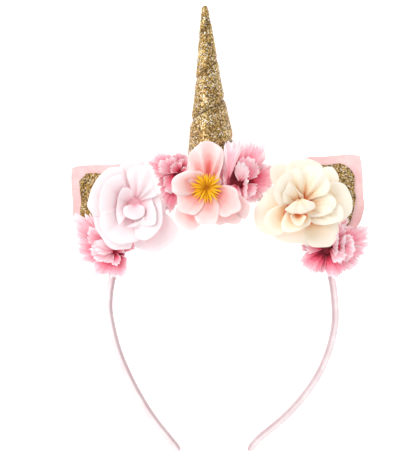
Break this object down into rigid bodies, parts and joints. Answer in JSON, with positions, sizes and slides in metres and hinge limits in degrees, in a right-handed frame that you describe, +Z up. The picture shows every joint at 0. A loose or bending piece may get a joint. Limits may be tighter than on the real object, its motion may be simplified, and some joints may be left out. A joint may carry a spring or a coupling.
{
  "type": "costume headband",
  "caption": "Hoop headband with a stuffed glitter horn, felt ears with glitter linings and cloth flowers across its crown, lying on its back.",
  "frame": {"origin": "centre of the bounding box, on the surface that the headband lies on", "axes": "+Y from the band's open ends to the horn's tip, +Z up, out of the flowers' faces, +X to the right as seen from above"},
  "size_m": [0.1664, 0.2432, 0.0445],
  "materials": {
    "satin_ribbon": "satin ribbon laid along the band",
    "gold_glitter": "coarse glitter on cloth",
    "pink_felt": "felt",
    "blush_petal": "thin matt cloth",
    "cream_petal": "thin matt cloth",
    "peach_petal": "thin matt cloth",
    "pink_petal": "thin matt cloth",
    "stamen": "matt",
    "calyx_plastic": "matt"
  },
  "bodies": {
    "root": {"band": "satin_ribbon", "horn": "gold_glitter", "ear_left": "pink_felt", "ear_right": "pink_felt", "ear_lining_left": "gold_glitter", "ear_lining_right": "gold_glitter", "blush_rose_calyx": "calyx_plastic", "blush_rose_outer_petals": "blush_petal", "blush_rose_middle_petals": "blush_petal", "blush_rose_inner_petals": "blush_petal", "blush_rose_bud": "blush_petal", "cream_rose_calyx": "calyx_plastic", "cream_rose_outer_petals": "cream_petal", "cream_rose_middle_petals": "cream_petal", "cream_rose_inner_petals": "cream_petal", "cream_rose_bud": "cream_petal", "blossom_calyx": "calyx_plastic", "blossom_back_petals": "peach_petal", "blossom_front_petals": "peach_petal", "blossom_stamens": "stamen", "carnation_upper_left_calyx": "calyx_plastic", "carnation_upper_left_outer_ruffle": "pink_petal", "carnation_upper_left_middle_ruffle": "pink_petal", "carnation_upper_left_inner_ruffle": "pink_petal", "carnation_upper_right_calyx": "calyx_plastic", "carnation_upper_right_outer_ruffle": "pink_petal", "carnation_upper_right_middle_ruffle": "pink_petal", "carnation_upper_right_inner_ruffle": "pink_petal", "carnation_lower_left_calyx": "calyx_plastic", "carnation_lower_left_outer_ruffle": "pink_petal", "carnation_lower_left_middle_ruffle": "pink_petal", "carnation_lower_left_inner_ruffle": "pink_petal", "carnation_lower_right_calyx": "calyx_plastic", "carnation_lower_right_outer_ruffle": "pink_petal", "carnation_lower_right_middle_ruffle": "pink_petal", "carnation_lower_right_inner_ruffle": "pink_petal"}
  },
  "joints": []
}
